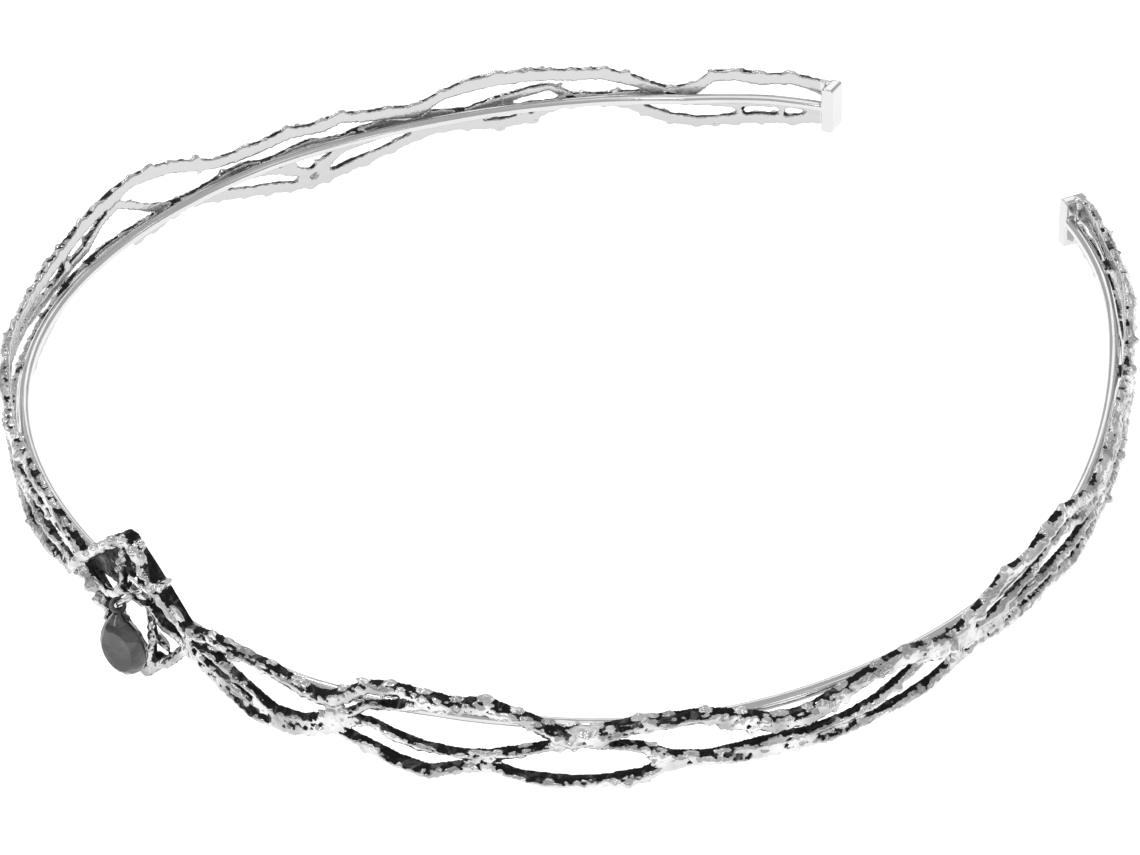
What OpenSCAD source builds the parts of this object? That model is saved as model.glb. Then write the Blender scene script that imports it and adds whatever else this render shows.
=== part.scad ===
// Open circlet in a net of cast strands, with a box frame at the front
// and a faceted oval drop that hangs from a jump ring.
// Front is -Y, the open ends are at +Y, and it stands on Z = 0.

/* [Circlet] */
// Inner radius of the circlet, from its centre to the plain wire
inner_r = 84; // [78:0.5:90]
// Angle between the back of the head and each end of the circlet
back_gap = 18; // [12:1:30]
// Diameter of the plain wire that runs round the inside
wire_d = 1.8; // [1.4:0.1:2.4]
// Angle by which the front is lifted where the circlet rests on a table
rest_tilt = 2.25; // [0:0.05:4]
// How far the right side is bent out, in front of the ear
side_bend = 1.6; // [0:0.1:3]

/* [Net] */
// Distance from the inner face of the wire to the flat inner face of the net
net_in = 2.3; // [2:0.1:2.6]
// Thickness of the top and bottom rails
rail_t = 1.9; // [1.5:0.1:2.4]
// Thickness of the strands between the rails
strand_t = 1.7; // [1.4:0.1:2.2]
// How uneven the strands are, as a share of their width
knobbly = 0.16; // [0:0.02:0.3]
// Height of the flat end plates
end_h = 8.6; // [7:0.1:10]
// Thickness of the flat end plates
end_t = 2.3; // [1.6:0.1:3]

/* [Front frame] */
// Depth of the box frame, out from the wire
frame_out = 3.7; // [3:0.1:4]
// Width of the bars of the frame
bar_w = 1.9; // [1.4:0.1:2.4]
// Thickness of the plates that close the two upper cells
floor_t = 0.8; // [0.6:0.1:1.2]

/* [Drop] */
// Width of the stone
stone_w = 8; // [7:0.1:9]
// Height of the stone
stone_h = 10.2; // [9:0.1:11]
// Depth of the stone
stone_t = 4.2; // [4:0.1:4.4]
// Angle by which the stone is turned to the wearer's left
stone_turn = 18; // [0:1:20]
// Diameter of the jump ring, outside
ring_od = 4.4; // [4:0.1:4.6]
// Wire of the jump ring
ring_wire = 0.7; // [0.5:0.05:0.8]
// Diameter of the round bar that the jump ring hangs on
hanger_d = 0.95; // [0.8:0.05:1.1]

/* [Hidden] */
silver = "silver";

// The charts below are drawn for an inner radius of 80 mm and grow with it.
chart_r = 80;
grow = inner_r / chart_r;

// Net chart, a row for each section round the circlet, heights from the wire.
// Columns: angle, top rail, upper strand, lower strand, bottom rail
left_back = [
    [-162, 2.8, 1.2, -1.6, -3.0], [-159, 3.3, 2.6, -1.4, -3.6],
    [-157, 3.6, 3.2, -1.2, -4.4], [-153.5, 2.9, 3.0, -1.6, -4.6],
    [-150.5, 3.3, 3.1, -2.0, -5.1], [-148, 3.1, 2.6, -2.0, -5.5],
    [-146, 0.7, 0.4, -1.8, -5.8], [-143, -0.4, -0.9, -1.6, -5.2],
    [-140, 1.4, -0.4, -1.2, -3.5], [-137.5, 3.0, -0.4, -1.0, -1.8],
    [-135, 4.0, -0.5, -0.9, -1.2], [-131, 4.3, 0.0, -0.6, -1.0],
    [-128.5, 4.8, 2.3, -0.6, -1.6], [-126, 5.0, 2.0, -0.7, -3.0],
    [-122, 5.1, 0.9, -0.8, -3.4], [-118, 4.7, -0.2, -1.0, -2.8],
    [-115, 3.8, 0.2, -0.8, -2.0], [-111.5, 1.8, 1.0, -0.8, -2.8],
    [-108, 2.6, 0.7, -1.0, -4.1], [-104.5, 3.0, 0.4, -1.4, -5.2],
    [-102, 3.9, -0.3, -2.0, -5.9], [-99.5, 3.2, 0.2, -3.4, -6.5],
    [-97.5, 3.3, 0.5, -4.6, -6.8], [-95, 3.8, 0.0, -3.4, -6.4],
    [-92, 3.1, -0.5, -1.8, -5.3], [-89, 3.0, 0.4, -1.2, -4.4]];
left_front = [
    [-85.5, 3.1, -0.4, -1.0, -3.0], [-82.5, 4.6, -0.8, -1.2, -1.9],
    [-79, 6.3, -0.7, -1.2, -1.7], [-76, 7.2, 0.8, -1.2, -2.5],
    [-73.5, 7.5, 3.0, -1.0, -2.7], [-71, 7.1, 5.2, -0.9, -1.6],
    [-68, 6.5, 4.0, -0.9, -1.7], [-65, 5.9, 1.7, -0.9, -1.9],
    [-62, 5.0, 1.3, -1.2, -2.5], [-58, 4.3, 0.7, -1.7, -3.6],
    [-54, 4.1, 0.9, -2.2, -4.6], [-50, 4.2, 1.6, -2.2, -5.5],
    [-46, 4.6, 2.4, -1.8, -6.1], [-42, 5.0, 3.4, -1.6, -6.1],
    [-38, 3.9, 2.8, -2.4, -5.4], [-34, 2.2, 1.2, -3.4, -4.9],
    [-30, 2.6, -0.6, -3.4, -5.9], [-26, 4.2, -1.2, -2.8, -6.8],
    [-22, 5.0, 0.2, -2.4, -7.2], [-18, 4.6, 1.8, -3.0, -6.5],
    [-14, 3.4, 2.2, -3.2, -5.2], [-11, 2.4, 0.8, -2.4, -3.8],
    [-8.6, 1.0, -0.2, -1.6, -2.6]];
right_front = [
    [8.6, 1.2, 0.2, -1.4, -2.4], [12, 1.9, -0.6, -3.0, -4.7],
    [16, 1.9, -3.2, -5.4, -7.2], [19, 1.7, -5.2, -6.2, -7.4],
    [22, 0.4, -4.8, -5.4, -6.3], [24, -0.1, -3.6, -4.4, -5.2],
    [25.5, 0.4, -2.4, -3.6, -4.4],
    [27.3, 1.9, -1.0, -2.6, -5.3], [29, 3.9, 1.0, -1.8, -6.1],
    [31.5, 4.6, 2.0, -3.3, -7.2], [34.5, 4.2, 3.1, -4.1, -7.9],
    [37.5, 3.8, 3.4, -4.2, -6.4], [40, 4.6, 3.7, -3.9, -5.4],
    [42.5, 3.1, 2.8, -3.0, -6.8], [45, 1.4, 0.6, -1.8, -7.3],
    [47.3, -0.8, -1.0, -1.4, -7.5], [49.5, 0.5, -0.2, -1.3, -7.5],
    [53, 1.6, 1.0, -2.2, -7.0], [55.5, 1.8, 1.6, -4.2, -5.4],
    [58.5, 1.5, 1.3, -5.2, -5.3], [61.5, 0.1, -0.8, -5.0, -6.1],
    [65, -1.9, -2.8, -5.1, -6.5], [68, -2.1, -3.0, -5.4, -6.8],
    [71.5, -0.7, -1.2, -5.3, -6.8], [75, 0.6, 0.6, -4.6, -6.8],
    [78, 1.2, 0.2, -2.6, -6.5], [80.5, 0.4, -0.6, -1.5, -6.0],
    [83.5, -1.2, -1.6, -2.0, -5.0]];
right_back = [
    [86, 0.6, -1.4, -2.2, -3.5], [88.5, 2.0, -1.4, -2.6, -3.6],
    [91, 3.6, -0.6, -2.4, -4.0], [94.5, 3.0, 0.2, -2.2, -4.3],
    [98, 4.7, 1.4, -2.2, -4.7], [101, 5.0, 2.2, -2.4, -4.6],
    [104.5, 3.0, 0.8, -2.8, -4.8], [108, 1.6, -0.5, -2.8, -4.9],
    [112, 1.2, -0.9, -2.8, -5.2], [116, 2.8, 0.2, -1.6, -4.8],
    [120, 4.4, 1.8, -1.2, -5.6], [124, 4.2, 2.8, -2.0, -6.4],
    [128, 2.4, 1.6, -3.0, -5.8], [132, 0.4, -0.2, -2.4, -4.2],
    [136, 2.4, -0.8, -1.6, -4.6], [140, 4.2, 0.4, -2.0, -5.8],
    [144, 4.4, 1.8, -3.2, -5.8], [148, 3.2, 1.2, -3.4, -4.9],
    [152, 2.2, -0.4, -2.2, -4.4], [156, 3.2, 0.4, -1.8, -4.6],
    [159, 3.4, 1.4, -1.8, -4.0], [162, 2.8, 1.0, -1.8, -3.2]];

// Line of the plain wire, which was bent by hand. Columns: angle, height
wire_line = [
    [-162, 0], [-155, 0], [-145, -0.7], [-135, -0.3], [-120, 0], [-92, 0],
    [-80, -0.5], [-65, -0.9], [-45, -0.5], [-25, 0], [12, -0.4], [22, -0.4],
    [28, 0.1], [35, 0.7], [42, 0.7], [49, 0.2], [60, -0.4], [70, -0.6], [85, -0.8],
    [105, -0.8], [120, -0.4], [138, 0], [162, 0]];

// The four rails.
// Columns: chart column, width, thickness, lift, seed of the knobs, widest step
rails = [
    [1, 2.3, rail_t, 0.0, 11, 3.6], [2, 1.7, strand_t, 0.2, 23, 9],
    [3, 1.7, strand_t, 0.0, 37, 9], [4, 2.0, rail_t, 0.1, 53, 4.5]];

// Cross strands. Columns: angle below, height below, angle above, height above, width
webs = [
    [39.4, -5.5, 39.9, -3.8, 2.5], [54.6, -5.8, 54.4, -3.7, 2.0],
    [84.2, -4.8, 83.6, -1.8, 2.0], [26.2, -4.8, 25.6, -1.0, 2.4],
    [-98.4, -6.8, -101.5, -1.0, 1.8], [-97.2, -6.8, -94.6, -1.0, 1.8],
    [-151.6, -5.0, -150.6, -2.4, 1.3], [-155.4, -4.6, -156.2, -2.0, 1.3],
    [-61.4, 1.2, -60.4, 4.6, 1.6], [-111.4, -2.6, -111.6, 1.6, 2.0]];

// Corners of the front frame. Columns: angle, height
frame_left = [-9.4, -0.9];
frame_top = [0.4, 10.6];
frame_right = [8.8, -1.0];
frame_low = [0.8, -11.6];

// Bars across the frame, a row for each bend. Columns: angle, height
upright_above = [[0.1, 9.4], [-0.7, 5.6], [-1.4, 1.8]];
upright_below = [[2.8, 1.2], [2.7, -4.2], [1.2, -10.4]];
cross_left = [[-8.6, -1.6], [-4.8, -2.8], [-2.4, -0.6], [-1.4, 1.4]];
cross_right = [[2.8, 1.4], [4.6, -1.0], [8.0, -1.4]];

// Section of a strand: flat inside, rounded outside.
// Columns: across, as a share of the width, and out, as a share of the thickness
strand_form = [[-0.5, 0], [-0.42, 0.7], [0, 1], [0.42, 0.7], [0.5, 0]];

// Angles at which a drop of solder joins the wire and the net
solder = [-143, -131, -117, -104, -91.5, -79, -65, -45, -31, -12,
    12, 25.5, 47.3, 61.5, 83.5, 108, 132, 152];
wire_form = [for (i = [0:7]) [0.5 * cos(45 * i), -0.5 * sin(45 * i)]];

// Angle of the middle of the side bend, and how fast it fades out on both sides
bend_middle = 104;
bend_fade = 2.4;

// Place of the hanging bar, the jump ring on it and the stone below
hanger_half = 2.6;
hanger_x = 1.0;
hanger_y = -(plan_r(0) + frame_out);
hanger_z = 1.55;
ring_turn = 44;
ring_ahead = 0.5;
ring_drop = 0.2;
ring_r = (ring_od - ring_wire) / 2;
ring_at = [hanger_x, hanger_y - ring_ahead, hanger_z - ring_drop];
loop_wire = 0.6;
loop_gap = 0.32;
loop_r = ring_wire / 2 + loop_gap + loop_wire / 2;
loop_at = ring_at + [0, -ring_r, 0] + loop_gap * [0.35, 0, -0.35];
cap_neck = 0.75;
stone_lean = [0.7, -0.6, 0];
stone_at = loop_at + stone_lean - [0, 0, loop_r + cap_neck + stone_h / 2];

// Shift that puts the foot on Z = 0 and the middle of the plan at the origin
stand = [-0.4, 2.2, 9.92];

function bend_share(a) = pow(cos(min(90, bend_fade * abs(a - bend_middle))), 2);
function plan_r(a) = inner_r * (1 + 0.02 * cos(2 * a) - 0.04 * cos(3 * a))
    + side_bend * bend_share(a);
function spot(a, h, d) = let(r = plan_r(a) + d) [r * sin(a), -r * cos(a), h * grow];
function wire_h(a) = lookup(a, wire_line);
function outward(a) = [sin(a), -cos(a), 0];
function unit(v) = v / norm(v);

// Curve through the values of one chart column, at a share s between rows i and i + 1
function bend(t, c, i, s) = let(
    n = len(t) - 1,
    p = t[max(i - 1, 0)][c],
    q = t[i][c],
    r = t[min(i + 1, n)][c],
    u = t[min(i + 2, n)][c])
    q + 0.5 * s * (r - p + s * (2 * p - 5 * q + 4 * r - u + s * (3 * (q - r) + u - p)));

// Rows of a chart, with one more put in between two that lie further apart than gap
function finer(t, cols, gap = 0) = [
    for (i = [0:len(t) - 1], s = [0, 0.5])
        if (s == 0 || (i < len(t) - 1 && t[i + 1][0] - t[i][0] > gap))
            [for (c = cols) bend(t, c, i, s)]];

// Points round one section. ahead is the direction in which the strand runs
function section(form, at, out, ahead, w, t) = let(side = unit(cross(unit(ahead), out)))
    [for (q = form) at + side * q[0] * w + out * q[1] * t];

// Solid through a list of sections, closed at both ends
module sweep(rings) {
    n = len(rings[0]);
    m = len(rings);
    sides = [for (i = [0:m - 2], j = [0:n - 1], k = [0, 1])
        let(a = i * n + j, b = i * n + (j + 1) % n)
        k == 0 ? [a, a + n, b] : [b, a + n, b + n]];
    low = [for (j = [1:n - 2]) [0, j, j + 1]];
    high = [for (j = [1:n - 2]) [(m - 1) * n, (m - 1) * n + j + 1, (m - 1) * n + j]];
    polyhedron(points = [for (r = rings, p = r) p], faces = concat(sides, low, high));
}

// Strand along rows of angle, height and lift, with knobs of its own
module strand(path, w, t, seed) {
    m = len(path);
    knob = rands(-1, 1, 2 * m, seed);
    at = [for (p = path) spot(p[0], p[1], net_in + p[2])];
    sweep([for (i = [0:m - 1])
        section(strand_form, at[i], outward(path[i][0]),
            at[min(i + 1, m - 1)] - at[max(i - 1, 0)],
            w * (1 + knobbly * knob[i]), t * (1 + knobbly * knob[m + i]))]);
}

module net_side(chart, turn) {
    for (r = rails) {
        rows = finer(chart, [0, r[0]], r[5]);
        strand([for (p = rows) [p[0], p[1], r[3]]], r[1], r[2], r[4] + turn);
    }
}

module web(row) {
    mid = [(row[0] + row[2]) / 2, (row[1] + row[3]) / 2, 0.2];
    strand([[row[0], row[1], 0], mid, [row[2], row[3], 0]], row[4], strand_t, 7);
}

module solder_drop(a) {
    h = wire_h(a);
    strand([[a - 0.7, h - 0.1, -1], [a + 0.6, h + 0.1, -1]], 1.5, 1.8, 5);
}

module inner_wire() {
    turns = [for (a = [-162:6:162]) a];
    n = len(turns) - 1;
    at = [for (a = turns) spot(a, wire_h(a), wire_d / 2)];
    sweep([for (i = [0:n])
        section(wire_form, at[i], outward(turns[i]),
            at[min(i + 1, n)] - at[max(i - 1, 0)], wire_d, wire_d)]);
}

// Flat plate that joins the wire and the net at one open end
module end_plate(side) {
    r = 0.5;
    deep = net_in + rail_t;
    angle = side * (180 - back_gap);
    translate(spot(angle, 0, 0))
        rotate([0, 0, angle])
            translate([0, -deep / 2, -0.4])
                hull()
                    for (x = [-1, 1], z = [-1, 1])
                        translate([x * (end_t / 2 - r), 0, z * (end_h / 2 - r)])
                            rotate([90, 0, 0])
                                cylinder(h = deep, r = r, center = true, $fn = 12);
}

// Wall of the box frame between two corners, with a thick front rim
module frame_side(a, b, seed) {
    mid = (a + b) / 2;
    bow = 0.25 * [sign(mid[0]), sign(mid[1])];
    path = [a, mid + bow, b];
    strand([for (p = path) [p[0], p[1], -1.2]], 1.6, frame_out - net_in + 1, seed);
    strand([for (p = path) [p[0], p[1], 0.2]], bar_w, frame_out - net_in, seed + 3);
    hull() {
        blob(mid + bow, 0.0, 0.95);
        blob(mid + bow, 1.4, 0.9);
    }
}

// Small ball of metal on the net
module blob(p, lift, r) {
    translate(spot(p[0], p[1], net_in + lift)) sphere(r = r, $fn = 6);
}

module frame_bar(path, w, seed) {
    rows = finer(path, [0, 1]);
    strand([for (p = rows) [p[0], p[1], 0.2]], w, frame_out - net_in - 0.3, seed);
}

// Plate behind one cell of the frame, creased along a ridge
module cell_floor(corners, ridge) {
    hull() {
        for (c = corners) {
            translate(spot(c[0], c[1], net_in - 0.3)) cube(floor_t, center = true);
        }
        for (c = ridge) {
            translate(spot(c[0], c[1], net_in + 0.35)) cube(floor_t / 2, center = true);
        }
    }
}

module front_frame() {
    corners = [frame_left, frame_top, frame_right, frame_low];
    for (i = [0:3]) {
        frame_side(corners[i], corners[(i + 1) % 4], 61 + i);
        hull() {
            blob(corners[i], -0.2, 1.2);
            blob(corners[i], 1.0, 1.1);
        }
    }
    frame_bar(upright_above, bar_w, 71);
    frame_bar(upright_below, bar_w, 73);
    frame_bar(cross_left, bar_w, 75);
    frame_bar(cross_right, bar_w, 77);
    cell_floor([[-8.4, -0.6], [-1.2, 7.6], [-2.6, 0.4]], [[-5.2, 2.6], [-4.2, 0.8]]);
    cell_floor([[1.0, 8.8], [3.2, 4.4], [7.6, -0.8]], [[2.4, 6.6]]);
    cell_floor([[4.2, -0.8], [3.2, 4.4], [7.6, -0.8]], [[4.6, 1.2]]);
}

module hanger() {
    for (side = [-1, 1]) {
        hull() {
            translate([hanger_x + side * hanger_half, hanger_y, hanger_z])
                sphere(d = 1.3, $fn = 7);
            translate([hanger_x + side * hanger_half, hanger_y + 1.4, hanger_z - 0.2])
                sphere(d = 1.5, $fn = 7);
        }
    }
    translate([hanger_x - hanger_half, hanger_y, hanger_z])
        rotate([0, 90, 0])
            cylinder(h = 2 * hanger_half, d = hanger_d, $fn = 16);
}

// Puts a piece where it is when the circlet rests on its foot
module rest() {
    translate(stand) rotate([-rest_tilt, 0, 0]) children();
}

module circlet() {
    color(silver)
        rest()
            union() {
                net_side(concat(left_back, left_front), 0);
                net_side(concat(right_front, right_back), 2);
                for (row = webs) {
                    web(row);
                }
                inner_wire();
                for (a = solder) {
                    solder_drop(a);
                }
                end_plate(-1);
                end_plate(1);
                front_frame();
                hanger();
            }
}

module jump_ring() {
    color(silver)
        rest()
            translate(ring_at)
                rotate([0, ring_turn + 90, 0])
                    rotate_extrude($fn = 48)
                        translate([ring_r, 0]) circle(d = ring_wire, $fn = 24);
}

module drop_cap() {
    color(silver)
        rest()
            union() {
                translate(loop_at)
                    rotate([0, 45, 0])
                        rotate_extrude($fn = 32)
                            translate([loop_r, 0]) circle(d = loop_wire, $fn = 16);
                translate([stone_at[0], stone_at[1], stone_at[2] + stone_h / 2])
                    cylinder(h = 1.2, d1 = 3.2, d2 = 1.2, $fn = 24);
            }
}

// Layers of the stone from the table at the front to the flat back.
// Columns: share of the outline, place as a share of the depth
stone_cut = [[0.78, -0.45], [0.92, -0.3], [1, -0.08], [1, 0.03], [0.84, 0.28], [0.5, 0.5]];

// Oval outline of the stone at a share of its size, as a thin layer
module stone_layer(share, at) {
    translate([0, at, 0])
        rotate([90, 0, 0])
            scale([stone_w / 2 * share, stone_h / 2 * share, 1])
                cylinder(h = 0.02, r = 1, center = true, $fn = 14);
}

module stone() {
    color("dimgray")
        rest()
            translate(stone_at)
                rotate([0, 0, stone_turn])
                    hull()
                        for (layer = stone_cut) {
                            stone_layer(layer[0], layer[1] * stone_t);
                        }
}

circlet();
jump_ring();
drop_cap();
stone();
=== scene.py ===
# Looks of an open silver circlet with a box frame and a faceted drop at the front
import bpy
import math
import random
import numpy as np
from mathutils import Matrix, Vector


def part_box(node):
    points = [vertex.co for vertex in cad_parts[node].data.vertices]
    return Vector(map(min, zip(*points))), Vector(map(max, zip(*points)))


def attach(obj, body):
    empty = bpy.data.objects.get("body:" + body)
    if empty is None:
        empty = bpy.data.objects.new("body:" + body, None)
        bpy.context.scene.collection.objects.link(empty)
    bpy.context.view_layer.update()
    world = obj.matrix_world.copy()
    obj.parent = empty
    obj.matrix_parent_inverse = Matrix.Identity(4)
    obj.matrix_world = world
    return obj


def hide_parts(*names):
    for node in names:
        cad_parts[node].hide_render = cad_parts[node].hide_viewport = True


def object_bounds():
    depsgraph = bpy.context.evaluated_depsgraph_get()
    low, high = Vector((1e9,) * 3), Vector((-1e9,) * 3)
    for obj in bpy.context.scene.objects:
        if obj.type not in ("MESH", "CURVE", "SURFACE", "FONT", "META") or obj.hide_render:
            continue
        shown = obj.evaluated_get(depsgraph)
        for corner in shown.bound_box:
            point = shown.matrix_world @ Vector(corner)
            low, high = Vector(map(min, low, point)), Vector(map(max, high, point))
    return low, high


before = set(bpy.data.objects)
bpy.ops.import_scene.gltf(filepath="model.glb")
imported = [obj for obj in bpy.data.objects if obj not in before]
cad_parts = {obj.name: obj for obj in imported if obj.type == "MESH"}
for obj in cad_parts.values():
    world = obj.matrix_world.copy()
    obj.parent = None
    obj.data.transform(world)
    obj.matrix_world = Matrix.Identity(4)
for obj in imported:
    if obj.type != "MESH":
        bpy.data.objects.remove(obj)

mm = 0.001


def corners(bounds):
    return [[float(v) for v in corner] for corner in bounds]


cadBox = corners(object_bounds())


# Shader maths: an output that works in sums, and a surface that makes nodes

class Output:
    def __init__(self, surface, socket):
        self.surface, self.socket = surface, socket

    def maths(self, operation, *values):
        return self.surface.node("ShaderNodeMath", {"operation": operation}, dict(enumerate(values)))

    def __add__(self, other):
        return self.maths("ADD", self, other)

    def __sub__(self, other):
        return self.maths("SUBTRACT", self, other)

    def __rsub__(self, other):
        return self.maths("SUBTRACT", other, self)

    def __mul__(self, other):
        return self.maths("MULTIPLY", self, other)

    __radd__, __rmul__ = __add__, __mul__


class Surface:
    def __init__(self, name):
        self.material = bpy.data.materials.new(name)
        self.material.use_nodes = True
        self.tree = self.material.node_tree
        self.tree.nodes.clear()
        self.place = self.node("ShaderNodeTexCoord", output="Object")

    def node(self, kind, settings=None, inputs=None, output=0):
        made = self.tree.nodes.new(kind)
        for name, value in (settings or {}).items():
            setattr(made, name, value)
        for name, value in (inputs or {}).items():
            if isinstance(value, Output):
                self.tree.links.new(value.socket, made.inputs[name])
            else:
                made.inputs[name].default_value = value
        return None if output is None else Output(self, made.outputs[output])

    def attribute(self, name):
        return self.node("ShaderNodeAttribute", {"attribute_name": name}, output="Fac")

    def noise(self, scale, detail=3.0, roughness=0.5, warp=0.0):
        inputs = {"Vector": self.place, "Scale": scale, "Detail": detail}
        inputs.update({"Roughness": roughness, "Distortion": warp})
        return self.node("ShaderNodeTexNoise", None, inputs)

    def steps(self, value, low, high):
        inputs = {"Value": value, "From Min": low, "From Max": high}
        return self.node("ShaderNodeMapRange", {"interpolation_type": "SMOOTHSTEP"}, inputs)

    def blend(self, share, a, b):
        return self.node("ShaderNodeMix", {"data_type": "RGBA"}, {0: share, 6: a, 7: b}, 2)

    def bump(self, height, strength, distance, **under):
        inputs = {"Height": height, "Strength": strength, "Distance": distance, **under}
        return self.node("ShaderNodeBump", None, inputs)

    def finish(self, **sockets):
        inputs = {name.replace("_", " "): value for name, value in sockets.items()}
        shader = self.node("ShaderNodeBsdfPrincipled", None, inputs)
        self.node("ShaderNodeOutputMaterial", None, {"Surface": shader}, None)
        return self.material


def grey(level):
    return (level, level, level, 1)


# Materials: greys run from the first to the second number

castSilver = {"polished": (0.7, 0.34), "inwardPolished": 0.52, "black": (0.008, 0.13), "specular": 0.1,
              # limits of the black, how far grain and patches shift them, and how little on the inside
              "blackFrom": (0.42, 0.62), "grainShift": 0.5, "patchShift": 1.7, "inwardCalm": 0.8,
              # roughness of bare metal, and what grain, frost and black add to it
              "roughness": 0.12, "grainRough": 0.1, "frostRough": 0.22, "blackRough": 0.2,
              # how much of its metal look the black loses
              "blackDull": 0.97}


def castSilverMaterial():
    c = castSilver
    s = Surface("castSilver")
    oxideAndShadeMask, inward = s.attribute("oxideAndShadeMask"), s.attribute("inward")
    grain = s.noise(1500, 4, 0.6)
    patches = s.noise(340, 3, 0.55, 0.6)
    shift = (grain - 0.5) * c["grainShift"] + (patches - 0.5) * c["patchShift"]
    # mask: oxide in hollows plus painted shade on faces that look up, beside the wire and on the frame walls
    # that look up to the right
    mask = s.steps(oxideAndShadeMask + shift * (1 - inward * c["inwardCalm"]), *c["blackFrom"])
    cloud = s.steps(s.noise(160, 3, 0.5), 0.35, 0.7)
    frost = s.steps(s.noise(330, 3, 0.55, 0.4), 0.48, 0.66) * (1 - inward)
    rubbed = s.steps(s.noise(420, 4, 0.6, 0.9), 0.5, 0.72)
    outer = s.blend(cloud, *map(grey, c["polished"]))
    bare = s.blend(inward, outer, grey(c["inwardPolished"]))
    # the grey of the oxide, also laid down as painted shade
    oxideAndShadeGrey = s.blend(rubbed, *map(grey, c["black"]))
    rough = c["roughness"] + grain * c["grainRough"] + frost * c["frostRough"] + mask * c["blackRough"]
    fine = s.bump(s.noise(2600, 3, 0.6), 0.4, 0.00005)
    pitted = s.bump(s.noise(900, 4, 0.55, 0.5), 0.5, 0.00016, Normal=fine)
    return s.finish(Base_Color=s.blend(mask, bare, oxideAndShadeGrey), Metallic=1 - mask * c["blackDull"],
                    Roughness=rough, Specular_IOR_Level=c["specular"], Normal=pitted)


darkSilver = {"greys": (0.03, 0.24), "roughness": 0.15, "filmRough": 0.2}


def darkSilverMaterial():
    s = Surface("darkSilver")
    film = s.noise(900, 3, 0.5, 0.5)
    return s.finish(Base_Color=s.blend(film, *map(grey, darkSilver["greys"])), Metallic=1.0,
                    Roughness=darkSilver["roughness"] + film * darkSilver["filmRough"],
                    Normal=s.bump(film, 0.3, 0.00005))


polishedSilver = {"greys": (0.54, 0.68), "roughness": 0.1, "scratchRough": 0.1}


def polishedSilverMaterial():
    s = Surface("polishedSilver")
    scratches = s.noise(1800, 2, 0.4)
    return s.finish(Base_Color=s.blend(s.noise(90, 2), *map(grey, polishedSilver["greys"])), Metallic=1.0,
                    Roughness=polishedSilver["roughness"] + scratches * polishedSilver["scratchRough"],
                    Normal=s.bump(scratches, 0.15, 0.00003))


smokyStone = {"dark": (0.006, 0.006, 0.006, 1), "veiled": (0.07, 0.07, 0.072, 1), "refraction": 1.62,
              "roughness": 0.04, "veilRough": 0.14}


def smokyStoneMaterial():
    s = Surface("smokyStone")
    veil = s.noise(160, 4, 0.55, 1.5)
    cloud = s.steps(veil, 0.35, 0.65)
    return s.finish(Base_Color=s.blend(cloud, smokyStone["dark"], smokyStone["veiled"]),
                    Roughness=smokyStone["roughness"] + cloud * smokyStone["veilRough"],
                    IOR=smokyStone["refraction"], Normal=s.bump(veil, 0.2, 0.0003))


paleFloor = {"greys": (0.97, 1), "base": 0.5, "glow": 1.0, "roughness": 0.8}


def floorMaterial():
    s = Surface("paleFloor")
    pale = s.blend(s.noise(6, 2), *map(grey, paleFloor["greys"]))
    return s.finish(Base_Color=grey(paleFloor["base"]), Emission_Color=pale,
                    Emission_Strength=paleFloor["glow"], Roughness=paleFloor["roughness"])


# Places on the band: angle round the head from the front, distance out from the wire's inner face,
# and height over the plane in which the wire lies

band = {"innerRadius": 84.0, "tilt": 2.25, "stand": (-0.4, 2.2, 9.92), "grow": 1.05,
        # shares by which the round is made an oval and is then drawn in at the front
        "oval": 0.02, "egg": 0.04, "sideBend": {"out": 1.6, "middle": 104, "fade": 2.4},
        # the wire, and where the flat inner side of the net begins
        "wireRadius": 0.9, "netIn": 2.3,
        # angles at which the frame and the net end, and at which the end plates begin
        "frameTo": 9.5, "netTo": 160, "plateFrom": 160.6,
        # the plain wire's line: angle in degrees, height before it grows
        "wireLine": ((-162, 0), (-155, 0), (-145, -0.7), (-135, -0.3), (-120, 0), (-92, 0), (-80, -0.5),
                     (-65, -0.9), (-45, -0.5), (-25, 0), (12, -0.4), (22, -0.4), (28, 0.1), (35, 0.7),
                     (42, 0.7), (49, 0.2), (60, -0.4), (70, -0.6), (85, -0.8), (105, -0.8), (120, -0.4),
                     (138, 0), (162, 0))}


def bandRadius(angle):
    side = band["sideBend"]
    turn = side["fade"] * np.abs(np.degrees(angle) - side["middle"])
    share = np.cos(np.radians(np.minimum(90, turn))) ** 2
    oval = 1 + band["oval"] * np.cos(2 * angle) - band["egg"] * np.cos(3 * angle)
    return band["innerRadius"] * oval + side["out"] * share


def wireHeight(angle):
    return band["grow"] * np.interp(np.degrees(angle), *zip(*band["wireLine"]))


def wireDistance(angle, out, height):
    return np.hypot(out - band["wireRadius"], height - wireHeight(angle))


def toBand(points):  # metres in, millimetres and radians out
    p = points / mm - np.array(band["stand"])
    t = math.radians(band["tilt"])
    y = p[:, 1] * math.cos(t) - p[:, 2] * math.sin(t)
    z = p[:, 1] * math.sin(t) + p[:, 2] * math.cos(t)
    angle = np.arctan2(p[:, 0], -y)
    return angle, np.hypot(p[:, 0], y) - bandRadius(angle), z


def fromBand(angle, out, height):  # millimetres and radians in, metres out
    r = bandRadius(angle) + out
    x, y, z = r * np.sin(angle), -r * np.cos(angle), height
    t = math.radians(band["tilt"])
    p = np.stack([x, y * math.cos(t) + z * math.sin(t), -y * math.sin(t) + z * math.cos(t)], 1)
    return (p + np.array(band["stand"])) * mm


def facingOut(normal, angle):  # 1 where a face looks away from the head, -1 where it looks at it
    return normal[:, 0] * np.sin(angle) - normal[:, 1] * np.cos(angle)


def inwardShare(facing, gain, start):  # 1 on the flat inner side, 0 on the outer side
    return np.clip(-facing * gain - start, 0, 1)


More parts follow.
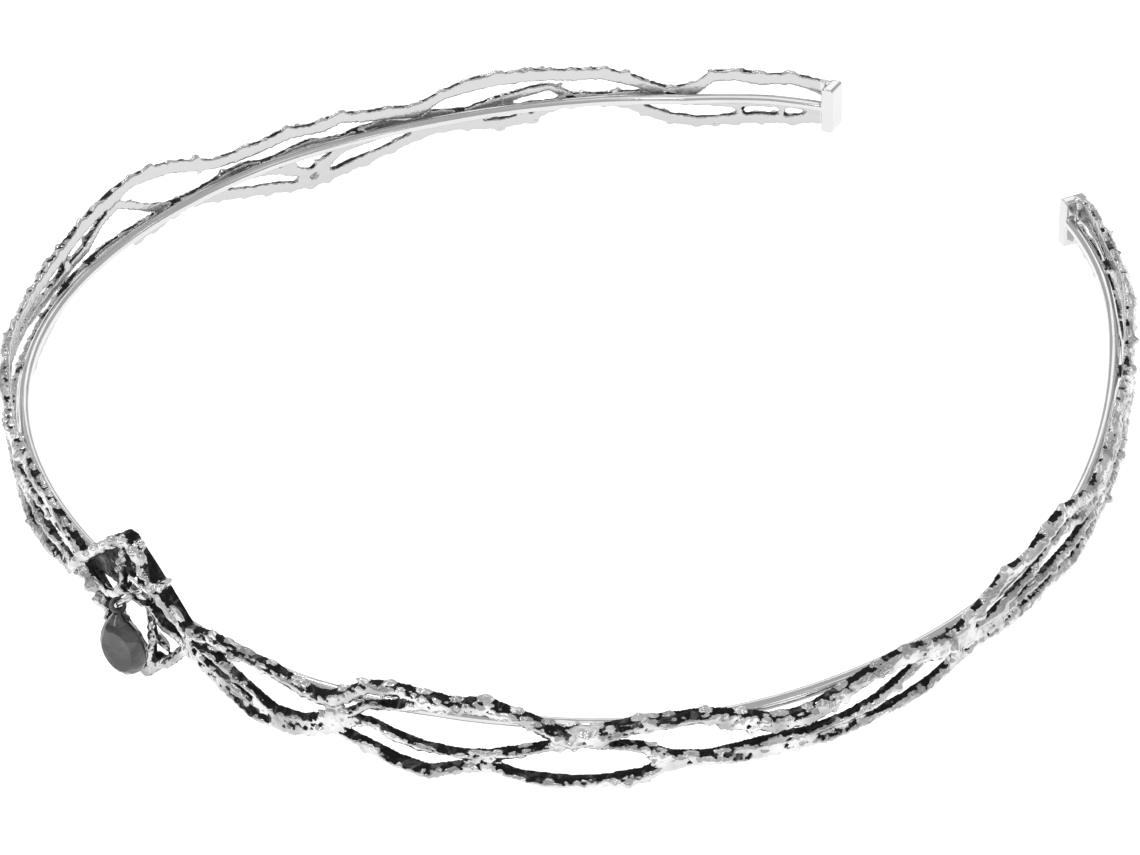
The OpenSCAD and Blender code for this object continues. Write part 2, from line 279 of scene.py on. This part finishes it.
def plainPlaces(angle, out, height, skin):  # the wire and the end plates
    wire = wireDistance(angle, out, height) < band["wireRadius"] + skin
    return wire | (np.abs(np.degrees(angle)) > band["plateFrom"])


# Object helpers

def deselect():
    bpy.ops.object.select_all(action="DESELECT")


def only(*objects):
    deselect()
    for o in objects:
        o.select_set(True)
    bpy.context.view_layer.objects.active = objects[0]


def copyOf(node, name):
    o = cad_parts[node].copy()
    o.data = o.data.copy()
    o.name = o.data.name = name
    bpy.context.collection.objects.link(o)
    o.data.materials.clear()
    only(o)
    bpy.ops.object.mode_set(mode="EDIT")
    bpy.ops.mesh.select_all(action="SELECT")
    bpy.ops.mesh.remove_doubles(threshold=0.002 * mm)
    bpy.ops.object.mode_set(mode="OBJECT")
    return o


def places(o):
    flat = np.empty(len(o.data.vertices) * 3)
    o.data.vertices.foreach_get("co", flat)
    return flat.reshape(-1, 3)


def move(o, points):
    o.data.vertices.foreach_set("co", points.ravel())
    o.data.update()


def normals(o):
    flat = np.empty(len(o.data.vertices) * 3)
    o.data.vertex_normals.foreach_get("vector", flat)
    return flat.reshape(-1, 3)


def faceValues(o, name):
    flat = np.empty(len(o.data.polygons) * 3)
    o.data.polygons.foreach_get(name, flat)
    return flat.reshape(-1, 3)


def finished(o, kind, **settings):
    made = o.modifiers.new(kind.title(), kind)
    for name, value in settings.items():
        setattr(made, name, value)
    only(o)
    bpy.ops.object.modifier_apply(modifier=made.name)


def group(o, name, weights, finest=20):
    made = o.vertex_groups.new(name=name)
    levels = np.round(np.clip(weights, 0, 1) * finest).astype(int)
    for level in range(1, finest + 1):
        made.add(np.nonzero(levels == level)[0].tolist(), level / finest, "REPLACE")


# Knobs and ribs of the net. A size is a radius in millimetres, and a length is a multiple of it

netKnobs = {"seed": 7,
            # a knob's own places reach a little past its radius
            "reach": 1.15,
            # how far the outer side starts from the net's flat inner side
            "outerFrom": 0.25,
            # along the top and bottom edges: degrees round the head, then millimetres out from the flat side
            "rim": {"sizes": (0.35, 0.62), "lengths": (1.3, 2.8), "from": 10.5, "to": 159.5, "step": 1.8,
                    "uneven": (0.6, 1.4), "window": 1.6, "edge": (-0.1, 0.5), "out": 0.5, "sink": 0.05},
            # round ones on the outer side
            "outer": {"count": 300, "sizes": (0.35, 0.75), "lengths": (1, 1.6), "slants": (-60, 60),
                      "from": 1.1},
            # long ribs on the upper and lower sides
            "ribs": {"count": 380, "sizes": (0.22, 0.45), "lengths": (1.5, 4.5), "slants": (-25, 25),
                     "upright": 0.4}}


def outside(degrees, out):
    net = (np.abs(degrees) > band["frameTo"]) & (np.abs(degrees) < band["netTo"])
    return (out > band["netIn"] + netKnobs["outerFrom"]) & net


def rimKnobs(o, rng):
    rim = netKnobs["rim"]
    angle, out, height = toBand(places(o))
    degrees = np.degrees(angle)
    first, last = (band["netIn"] + reach for reach in rim["edge"])
    edge = (out > first) & (out < last) & (np.abs(degrees) < band["netTo"])
    for side in (-1, 1):
        at = rim["from"]
        while at < rim["to"]:
            here = np.nonzero(edge & (np.abs(degrees - side * at) < rim["window"]))[0]
            if len(here):
                top, bottom = here[height[here].argmax()], here[height[here].argmin()]
                for pick, sink in ((top, -rim["sink"]), (bottom, rim["sink"])):
                    spot = fromBand(angle[pick:pick + 1], band["netIn"] + rim["out"], height[pick] + sink)
                    yield spot[0], rng.uniform(*rim["sizes"]), rng.uniform(*rim["lengths"]), 0
            at += rim["step"] * rng.uniform(*rim["uneven"])


def scattered(kind, centre, where, rng):
    rule = netKnobs[kind]
    for pick in rng.choices(np.nonzero(where)[0].tolist(), k=rule["count"]):
        yield (centre[pick], rng.uniform(*rule["sizes"]), rng.uniform(*rule["lengths"]),
               rng.uniform(*rule["slants"]))


def faceKnobs(o, rng):
    centre, normal = faceValues(o, "center"), faceValues(o, "normal")
    angle, out = toBand(centre)[:2]
    net = outside(np.degrees(angle), out)
    yield from scattered("outer", centre, net & (out > band["netIn"] + netKnobs["outer"]["from"]), rng)
    yield from scattered("ribs", centre, net & (np.abs(normal[:, 2]) > netKnobs["ribs"]["upright"]), rng)


# Knobs and ridges of the front frame: angle, out, height, radius, length, slant

frameKnobs = {
    "raised": (
        # upper right wall and top corner
        (4.3, 3.8, 5.6, 0.9, 1, 0), (5.0, 3.0, 5.9, 0.75, 1, 0), (5.1, 2.1, 6.0, 0.7, 1, 0),
        (5.1, 1.3, 6.0, 0.6, 1, 0), (5.5, 4.0, 4.3, 0.5, 2.6, 45), (3.1, 4.0, 7.2, 0.5, 2.4, 45),
        (4.2, 4.0, 4.2, 0.4, 2.2, 90), (3.0, 3.9, 5.0, 0.4, 2.4, 10), (2.7, 2.9, 9.0, 0.8, 1.2, 45),
        (1.9, 3.6, 10.0, 0.9, 1, 0), (0.5, 3.7, 10.9, 0.8, 1, 0), (1.9, 2.0, 10.2, 0.8, 1, 0),
        (6.6, 3.9, 2.9, 0.5, 4, 45), (7.4, 3.0, 3.2, 0.45, 4, 45),
        # upper left wall
        (-6.8, 3.8, 2.4, 0.9, 1.3, -45), (-4.8, 3.9, 5.0, 1.0, 1.2, -45),
        (-3.0, 3.8, 7.2, 0.9, 1.3, -45), (-1.4, 3.8, 9.2, 1.0, 1.1, -45),
        # left corner
        (-8.6, 3.5, -2.2, 1.1, 1, 0), (-7.3, 3.8, -3.3, 1.1, 1, 0), (-5.8, 3.9, -4.6, 1.0, 1.1, 45),
        # upright, above and below the cross bar
        (0.2, 3.7, 8.2, 0.65, 1, 0), (-0.5, 3.7, 6.4, 0.7, 1, 0), (-0.9, 3.7, 4.8, 0.65, 1, 0),
        (2.9, 3.4, -2.0, 0.65, 1, 0), (2.7, 3.4, -4.0, 0.65, 1, 0), (2.2, 3.4, -6.4, 0.6, 1, 0),
        # rib across the lower right cell
        (3.35, 2.5, -4.6, 0.9, 2.5, 22)),
    # ridges deep in the cells, which stay black
    "fills": (
        (0.9, 2.3, 6.6, 0.85, 2.4, 90), (1.2, 2.2, 3.6, 0.7, 1.8, 80), (0.0, 2.3, 5.2, 0.8, 3, 90),
        (2.6, 2.4, -8.1, 0.8, 2, 0))}


def placed(rows):
    for angle, out, height, size, length, slant in rows:
        yield fromBand(np.radians([angle]), out, band["grow"] * height)[0], size, length, slant


def roundHead(place):  # direction along the band at a place
    return math.atan2(place[1], place[0]) + math.pi / 2


def nearKnob(points, place, size, length, slant):
    turn, slope = roundHead(place), math.radians(slant)
    along = np.array([math.cos(turn) * math.cos(slope), math.sin(turn) * math.cos(slope), -math.sin(slope)])
    half = (length - 1) * size * mm
    nearest = place + np.outer(np.clip((points - place) @ along, -half, half), along)
    return np.linalg.norm(points - nearest, axis=1) < size * netKnobs["reach"] * mm


def addKnobs(rows):
    deselect()
    bpy.ops.mesh.primitive_ico_sphere_add(subdivisions=2, radius=mm)
    first = bpy.context.object
    knobs = []
    for place, size, length, slant in rows:
        knob = first.copy()
        knob.data = first.data.copy()
        turn = Matrix.Rotation(roundHead(place), 4, "Z") @ Matrix.Rotation(math.radians(slant), 4, "Y")
        knob.matrix_world = Matrix.Translation(place) @ turn @ Matrix.Diagonal((size * length, size, size, 1))
        bpy.context.collection.objects.link(knob)
        knobs.append(knob)
    bpy.data.objects.remove(first)
    return knobs


# Cast band: the net, wire, end plates and front frame of the circlet, with their knobs

castBand = {"voxel": 0.27 * mm, "smooth": 0.5, "shadeSmooth": 60,
            # the flat inner side: where it starts, and how much of the relief it is spared
            "inward": (1.6, 0.4), "inwardCalm": 0.9,
            # relief: kind of noise, size of its forms, height
            "relief": {"lumps": ("BLENDER_ORIGINAL", 2.6 * mm, 0.5 * mm),
                       "folds": ("VORONOI_F2_F1", 1.3 * mm, 0.36 * mm),
                       "pits": ("ORIGINAL_PERLIN", 0.6 * mm, 0.14 * mm)},
            # the wire: skin kept free of relief, core left alone, and angle up to which it is made round
            "wireSkin": 0.15, "wireCore": 0.6, "roundTo": 161,
            # skin round the wire that has the wire's own silver
            "silverSkin": 0.06,
            # how far the relief may pass the solids: a share of the box, and metres at the top
            "slack": 0.02, "topSlack": 0.0005,
            # names from the left end round to the right end, and the angles of the cuts between them
            "pieces": ("leftBackNet", "leftFrontNet", "frontFrame", "rightFrontNet", "rightBackNet"),
            "cuts": (-86, -10.5, 10.5, 86)}


def makeCastBand():
    o = copyOf("circlet", "castBand")
    rng = random.Random(netKnobs["seed"])
    raised = [*rimKnobs(o, rng), *faceKnobs(o, rng), *placed(frameKnobs["raised"])]
    knobs = addKnobs([*raised, *placed(frameKnobs["fills"])])
    only(o, *knobs)
    bpy.ops.object.join()
    print("castBand: knobs", len(knobs))
    finished(o, "REMESH", mode="VOXEL", voxel_size=castBand["voxel"])
    finished(o, "SMOOTH", factor=castBand["smooth"], iterations=1)
    angle, out, height = toBand(places(o))
    wire = wireDistance(angle, out, height) < band["wireRadius"] + castBand["wireSkin"]
    plate = np.abs(np.degrees(angle)) > band["plateFrom"]
    inner = inwardShare(facingOut(normals(o), angle), *castBand["inward"])
    group(o, "cast", (1 - castBand["inwardCalm"] * inner) * (~wire) * (~plate))
    for name, (basis, size, strength) in castBand["relief"].items():
        texture = bpy.data.textures.new(name, "CLOUDS")
        texture.noise_scale, texture.noise_basis, texture.noise_depth = size, basis, 1
        finished(o, "DISPLACE", texture=texture, texture_coords="LOCAL", strength=strength, mid_level=0.5,
                 vertex_group="cast")
    print("castBand: vertices", len(o.data.vertices))
    tidyBand(o, wire)
    paintOxideAndShade(o, raised)
    return o


def tidyBand(o, wire):  # the wire is made round, and all stays on the floor and in the box
    angle, out, height = toBand(places(o))
    radius, middle = band["wireRadius"], wireHeight(angle)
    distance = wireDistance(angle, out, height)
    freed = wire & (distance > castBand["wireCore"]) & (np.abs(np.degrees(angle)) < castBand["roundTo"])
    share = np.where(freed, radius / np.maximum(distance, castBand["wireCore"]), 1)
    points = fromBand(angle, radius + (out - radius) * share, middle + (height - middle) * share)
    low, high = np.array(cadBox[0]), np.array(cadBox[1])
    slack = (high - low) * castBand["slack"]
    slack[2] = 0
    move(o, np.clip(points, low - slack, high + slack + np.array([0, 0, castBand["topSlack"]])))


# Oxide and painted shade: each point gets a score, and the highest are darkened, as many as the share says.
# Hollows and the frame's deep parts take oxide, and knobs are rubbed bright. Faces that look up or sideways,
# the strip beside the wire and the frame walls that look up to the right get painted shade

oxideAndShade = {"evenings": 16, "steps": 41, "sharpness": 1.6,
           # what hollows (oxide), edges and faces that look up (painted shade) add to the score
           "hollow": 2.4, "edge": 0.45, "up": 0.1, "upByShare": 1.1,
           # the strip beside the wire, which is painted shade of the gap, and the left's outer side: gain,
           # first angle, degrees to the full
           "beside": {"gain": 0.8, "width": 0.9, "from": 45, "over": 20},
           "left": {"gain": 0.8, "from": 50, "over": 20},
           # the frame: what lies deep in it (oxide), its front faces (rubbed bright), and the walls that look
           # up to the right (painted shade)
           "deep": {"gain": 0.7, "to": 0.8}, "proud": {"gain": -0.4, "from": 1.0, "facing": 0.3},
           "wall": {"gain": 1.0, "direction": 0.7, "from": 0.7},
           # knobs are rubbed bright
           "knob": -1.8,
           # the outer side, over which the shares are counted, and how the black fades on the inner side
           "outer": {"facing": -0.35, "from": -0.3}, "inwardFade": (1.5, 1.6), "inward": (2.5, 0.6),
           # skin round the wire that stays bright
           "wireSkin": 0.12,
           # share of the outer side that is darkened, partly oxide and partly painted shade, most at the
           # front and front right: angle, share
           "share": ((-162, 0.2), (-100, 0.2), (-62, 0.18), (-42, 0.18), (-18, 0.3), (-8, 0.42), (12, 0.42),
                     (50, 0.42), (66, 0.36), (84, 0.26), (120, 0.18), (162, 0.16))}


def evened(points, edges, times):  # each time, all points go half way to the mean of their neighbours
    a, b = edges.T
    count = np.bincount(a, minlength=len(points)) + np.bincount(b, minlength=len(points))
    even = points.copy()
    for _ in range(times):
        total = np.stack([np.bincount(a, even[b, k], len(points)) + np.bincount(b, even[a, k], len(points))
                          for k in range(3)], 1)
        even = 0.5 * even + 0.5 * total / np.maximum(count, 1)[:, None]
    return even


def hollows(o, points, normal):
    edges = np.empty(len(o.data.edges) * 2, dtype=np.int32)
    o.data.edges.foreach_get("vertices", edges)
    return ((evened(points, edges.reshape(-1, 2), oxideAndShade["evenings"]) - points) * normal).sum(1) / mm


def fadedIn(degrees, rule):
    return np.clip((degrees - rule["from"]) / rule["over"], 0, 1)


def paintOxideAndShade(o, raised):
    points, normal = places(o), normals(o)
    angle, out, height = toBand(points)
    degrees, depth = np.degrees(angle), out - band["netIn"]
    facing, up = facingOut(normal, angle), np.clip(normal[:, 2], 0, 1)
    share = np.interp(degrees, *zip(*oxideAndShade["share"]))
    # hollows take oxide; faces turned sideways and faces that look up are darkened as painted shade
    score = oxideAndShade["hollow"] * hollows(o, points, normal) + oxideAndShade["edge"] * (1 - np.abs(facing))
    score += (oxideAndShade["up"] + oxideAndShade["upByShare"] * share) * up
    beside, left = oxideAndShade["beside"], oxideAndShade["left"]
    # the strip beside the wire that looks up is darkened: painted shade of the gap
    strip = np.clip(1 - depth / beside["width"], 0, 1) * up
    score += beside["gain"] * strip * fadedIn(np.abs(degrees), beside)
    score += left["gain"] * fadedIn(-degrees, left) * np.clip(facing, 0, 1)
    deep, proud, wall = oxideAndShade["deep"], oxideAndShade["proud"], oxideAndShade["wall"]
    front = np.abs(degrees) < band["frameTo"]
    score[front & (depth < deep["to"]) & (facing > 0)] += deep["gain"]
    score[front & (depth > proud["from"]) & (facing > proud["facing"])] += proud["gain"]
    # frame walls that look up to the right are darkened: painted shade
    upRight = normal[:, 0] * wall["direction"] + normal[:, 2] * wall["direction"]
    score[front & (upRight > wall["from"])] += wall["gain"]
    for knob in raised:
        score[nearKnob(points, *knob)] += oxideAndShade["knob"]
    outer = (facing > oxideAndShade["outer"]["facing"]) & (depth > oxideAndShade["outer"]["from"])
    shares = np.linspace(0, 1, oxideAndShade["steps"])
    limit = np.interp(1 - share, shares, np.quantile(score[outer], shares))
    black = 0.5 + oxideAndShade["sharpness"] * (score - limit)
    kept, gain = oxideAndShade["inwardFade"]
    black *= np.clip(kept + facing * gain, 0, 1)
    black[plainPlaces(angle, out, height, oxideAndShade["wireSkin"])] = 0
    for name, values in (("oxideAndShadeMask", black), ("inward", inwardShare(facing, *oxideAndShade["inward"]))):
        made = o.data.attributes.new(name, "FLOAT", "POINT")
        made.data.foreach_set("value", np.clip(values, 0, 1))
    print("castBand: blackened share", round(float((black > 0.5).mean()), 3))


# The finished band is cut into pieces, so that none of them has too many faces

def cutBand(o):
    limits = (-180, *castBand["cuts"], 180)
    made = []
    for name, low, high in zip(castBand["pieces"], limits, limits[1:]):
        piece = o.copy()
        piece.data = o.data.copy()
        piece.name = piece.data.name = name
        bpy.context.collection.objects.link(piece)
        only(piece)
        bpy.ops.object.mode_set(mode="EDIT")
        for angle, turn in ((low, 1), (high, -1)):
            bpy.ops.mesh.select_all(action="SELECT")
            a = math.radians(angle)
            bpy.ops.mesh.bisect(plane_co=(band["stand"][0] * mm, band["stand"][1] * mm, 0),
                                plane_no=(math.cos(a) * turn, math.sin(a) * turn, 0),
                                use_fill=True, clear_inner=True)
        bpy.ops.object.mode_set(mode="OBJECT")
        made.append(piece)
    bpy.data.objects.remove(o)
    return made


silver, wireSilver = castSilverMaterial(), polishedSilverMaterial()
for piece in cutBand(makeCastBand()):
    piece.data.materials.append(silver)
    piece.data.materials.append(wireSilver)
    only(piece)
    bpy.ops.object.shade_smooth_by_angle(angle=math.radians(castBand["shadeSmooth"]))
    plain = plainPlaces(*toBand(faceValues(piece, "center")), castBand["silverSkin"])
    piece.data.polygons.foreach_set("material_index", plain.astype(np.int32))
    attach(piece, "circlet")
    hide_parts("circlet")
    print(piece.name, "faces", len(piece.data.polygons))

for node, material in (("jump_ring", wireSilver), ("drop_cap", darkSilverMaterial())):
    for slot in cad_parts[node].material_slots:
        slot.material = material
print("jump_ring, drop_cap: silver")


# Drop stone: an oval cut with a table, two rows of crown facets, a girdle and two rows below

stone = {"width": 7.5, "height": 9.9, "depth": 4.1, "turn": 18, "sides": 16, "shift": (0.5, 0, 0.8),
         "bevel": 0.06 * mm, "bevelFrom": 8, "shadeSmooth": 5,
         # share of the outline, place as a share of the depth, turn as a share of one side
         "cut": ((0.7, -0.45, 0), (0.88, -0.32, 0.5), (0.99, -0.1, 0), (1, -0.04, 0), (1, 0.03, 0),
                 (0.84, 0.26, 0.5), (0.5, 0.46, 0))}


def makeStone():
    low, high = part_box("stone")
    middle = (Vector(low) + Vector(high)) / 2 + Vector(stone["shift"]) * mm
    deselect()
    bpy.ops.mesh.primitive_circle_add(vertices=stone["sides"], radius=mm, location=(0, 0, 0))
    o = bpy.context.object
    o.name = o.data.name = "facetedStone"
    bpy.ops.object.mode_set(mode="EDIT")
    bpy.ops.mesh.delete(type="VERT")
    width, height, depth = stone["width"] / 2, stone["height"] / 2, stone["depth"]
    for share, place, turn in stone["cut"]:
        bpy.ops.mesh.select_all(action="DESELECT")
        bpy.ops.mesh.primitive_circle_add(vertices=stone["sides"], radius=mm, location=(0, 0, 0),
                                          rotation=(math.pi / 2, math.tau / stone["sides"] * turn, 0))
        bpy.ops.transform.resize(value=(width * share, 1, height * share), center_override=(0, 0, 0))
        bpy.ops.transform.translate(value=(0, place * depth * mm, 0))
    bpy.ops.mesh.select_all(action="SELECT")
    bpy.ops.mesh.convex_hull()
    bpy.ops.mesh.dissolve_limited(angle_limit=math.radians(1))
    bpy.ops.mesh.normals_make_consistent(inside=False)
    bpy.ops.object.mode_set(mode="OBJECT")
    turn = Matrix.Translation(middle) @ Matrix.Rotation(math.radians(-band["tilt"]), 4, "X")
    o.matrix_world = turn @ Matrix.Rotation(math.radians(stone["turn"]), 4, "Z")
    only(o)
    bpy.ops.object.transform_apply(location=True, rotation=True, scale=True)
    finished(o, "BEVEL", width=stone["bevel"], segments=2, limit_method="ANGLE",
             angle_limit=math.radians(stone["bevelFrom"]))
    o.data.materials.append(smokyStoneMaterial())
    only(o)
    bpy.ops.object.shade_smooth_by_angle(angle=math.radians(stone["shadeSmooth"]))
    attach(o, "drop")
    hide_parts("stone")
    print("facetedStone: faces", len(o.data.polygons))


makeStone()


# Studio: pale floor, soft lights and the camera

studio = {"floor": 3.0, "world": 0.62, "lens": 95.73, "sensor": 36.0, "clip": (0.01, 20),
          "camera": (298.385, -242.66, 284.011), "azimuth": 51.033, "elevation": 36.649, "roll": 5.15,
          # name, place, size in metres, power in watts
          "lights": (("softBack", (-0.62, 0.72, 0.58), 0.52, 0.6),
                     ("softTop", (-0.05, -0.25, 1.0), 0.9, 1.5),
                     ("softRight", (0.68, 0.3, 0.7), 0.25, 0.12),
                     ("key", (-0.45, 0.1, 0.55), 0.1, 0.3),
                     ("side", (0.5, -0.4, 0.75), 0.12, 0.3),
                     ("left", (-0.75, -0.3, 0.5), 0.12, 0.1),
                     ("rightBack", (0.5, 0.75, 0.5), 0.12, 0.1),
                     ("front", (0.05, -0.75, 0.45), 0.12, 0.3),
                     ("right", (0.85, 0.0, 0.35), 0.12, 0.1)),
          "aim": (0, 0, 0.01)}


def makeFloor():
    deselect()
    bpy.ops.mesh.primitive_plane_add(size=studio["floor"], location=(0, 0, 0))
    floor = bpy.context.object
    floor.name = "floor"
    floor.data.materials.append(floorMaterial())


def makeWorld():
    world = bpy.data.worlds.new("studioWorld")
    world.use_nodes = True
    background = world.node_tree.nodes["Background"]
    background.inputs["Color"].default_value = grey(1)
    background.inputs["Strength"].default_value = studio["world"]
    bpy.context.scene.world = world


def addLight(name, place, size, power):
    bpy.ops.object.light_add(type="AREA", location=place)
    light = bpy.context.object
    light.name = name
    light.data.shape, light.data.size, light.data.energy = "DISK", size, power
    light.rotation_euler = (Vector(studio["aim"]) - Vector(place)).to_track_quat("-Z", "Y").to_euler()


def makeCamera():
    a, e, r = (math.radians(studio[name]) for name in ("azimuth", "elevation", "roll"))
    back = Vector((math.sin(a) * math.cos(e), -math.cos(a) * math.cos(e), math.sin(e)))
    right = Vector((math.cos(a), math.sin(a), 0))
    up = back.cross(right)
    x = right * math.cos(r) - up * math.sin(r)
    y = right * math.sin(r) + up * math.cos(r)
    bpy.ops.object.camera_add()
    camera = bpy.context.object
    turn = Matrix((x, y, back)).transposed().to_4x4()
    camera.matrix_world = Matrix.Translation(Vector(studio["camera"]) * mm) @ turn
    camera.data.lens, camera.data.sensor_width = studio["lens"], studio["sensor"]
    camera.data.clip_start, camera.data.clip_end = studio["clip"]
    bpy.context.scene.camera = camera


makeFloor()
makeWorld()
for light in studio["lights"]:
    addLight(*light)
makeCamera()
bpy.context.scene.view_settings.view_transform = "Standard"
print("studio: done")
